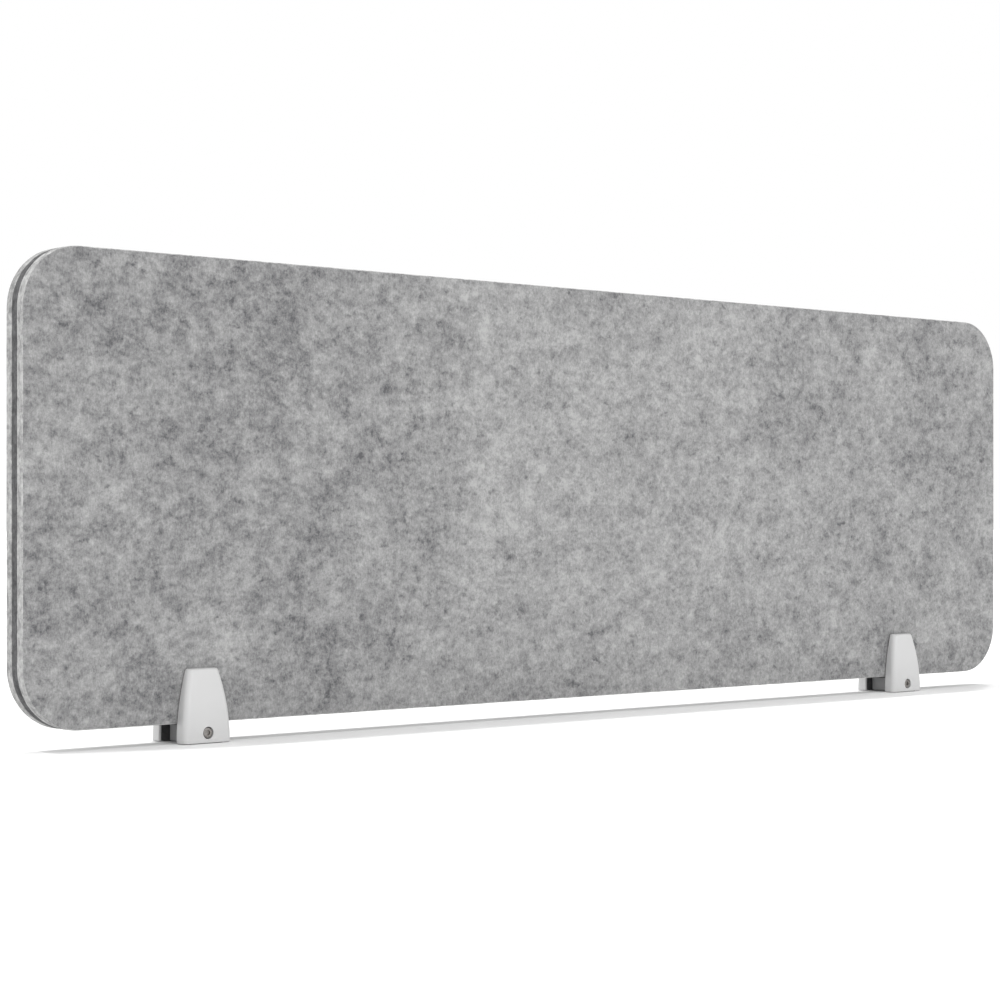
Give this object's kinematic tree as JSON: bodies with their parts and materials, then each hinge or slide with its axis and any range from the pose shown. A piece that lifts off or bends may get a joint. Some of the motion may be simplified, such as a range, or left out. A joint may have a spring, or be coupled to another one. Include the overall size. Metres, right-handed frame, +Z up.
{
  "type": "desk privacy panel",
  "caption": "Felt-faced desk privacy panel with rounded corners, standing on white clamp brackets that slide along its lower edge and open with a screw.",
  "frame": {"origin": "centre of the floor rectangle under the object, below the middle of the panel", "axes": "+X along the panel to the right as seen from the front, +Y to the rear, +Z up; the screw heads face -Y"},
  "size_m": [1.2, 0.0514, 0.3962],
  "materials": {
    "grey_felt": "matte",
    "dark_board": "matte",
    "white_plastic": "satin",
    "dark_plastic": "matte",
    "black_rubber": "matte",
    "screw_steel": "satin",
    "zinc_steel": "satin"
  },
  "bodies": {
    "panel": {"front_felt_sheet": "grey_felt", "core_board": "dark_board", "rear_felt_sheet": "grey_felt"},
    "left_bracket": {"left_rear_shell": "white_plastic", "left_rear_grip_pad": "black_rubber", "left_rear_foot_pad": "black_rubber", "left_spacer_block": "dark_plastic", "left_seat_pad": "black_rubber", "left_nut": "zinc_steel"},
    "left_jaw": {"left_front_shell": "white_plastic", "left_front_grip_pad": "black_rubber", "left_front_foot_pad": "black_rubber"},
    "left_screw": {"left_clamp_screw": "screw_steel"},
    "right_bracket": {"right_rear_shell": "white_plastic", "right_rear_grip_pad": "black_rubber", "right_rear_foot_pad": "black_rubber", "right_spacer_block": "dark_plastic", "right_seat_pad": "black_rubber", "right_nut": "zinc_steel"},
    "right_jaw": {"right_front_shell": "white_plastic", "right_front_grip_pad": "black_rubber", "right_front_foot_pad": "black_rubber"},
    "right_screw": {"right_clamp_screw": "screw_steel"}
  },
  "joints": [
    {"name": "left_bracket_slide", "type": "slide", "parent": "panel", "child": "left_bracket", "axis": [1, 0, 0], "range_m": [-0.085, 0.3]},
    {"name": "left_jaw_slide", "type": "slide", "parent": "left_bracket", "child": "left_jaw", "axis": [0, -1, 0], "range_m": [0, 0.004]},
    {"name": "left_screw_turn", "type": "hinge", "parent": "left_jaw", "child": "left_screw", "pos_m": [-0.438, -0.0247, 0.0087], "axis": [0, -1, 0], "range_deg": [0, 1800]},
    {"name": "right_bracket_slide", "type": "slide", "parent": "panel", "child": "right_bracket", "axis": [1, 0, 0], "range_m": [-0.3, 0.085]},
    {"name": "right_jaw_slide", "type": "slide", "parent": "right_bracket", "child": "right_jaw", "axis": [0, -1, 0], "range_m": [0, 0.004]},
    {"name": "right_screw_turn", "type": "hinge", "parent": "right_jaw", "child": "right_screw", "pos_m": [0.438, -0.0247, 0.0087], "axis": [0, -1, 0], "range_deg": [0, 1800]}
  ],
  "couplings": [
    {"joint": "left_screw_turn", "follows": "left_jaw_slide", "rad_per_m": 7854},
    {"joint": "right_screw_turn", "follows": "right_jaw_slide", "rad_per_m": 7854}
  ]
}
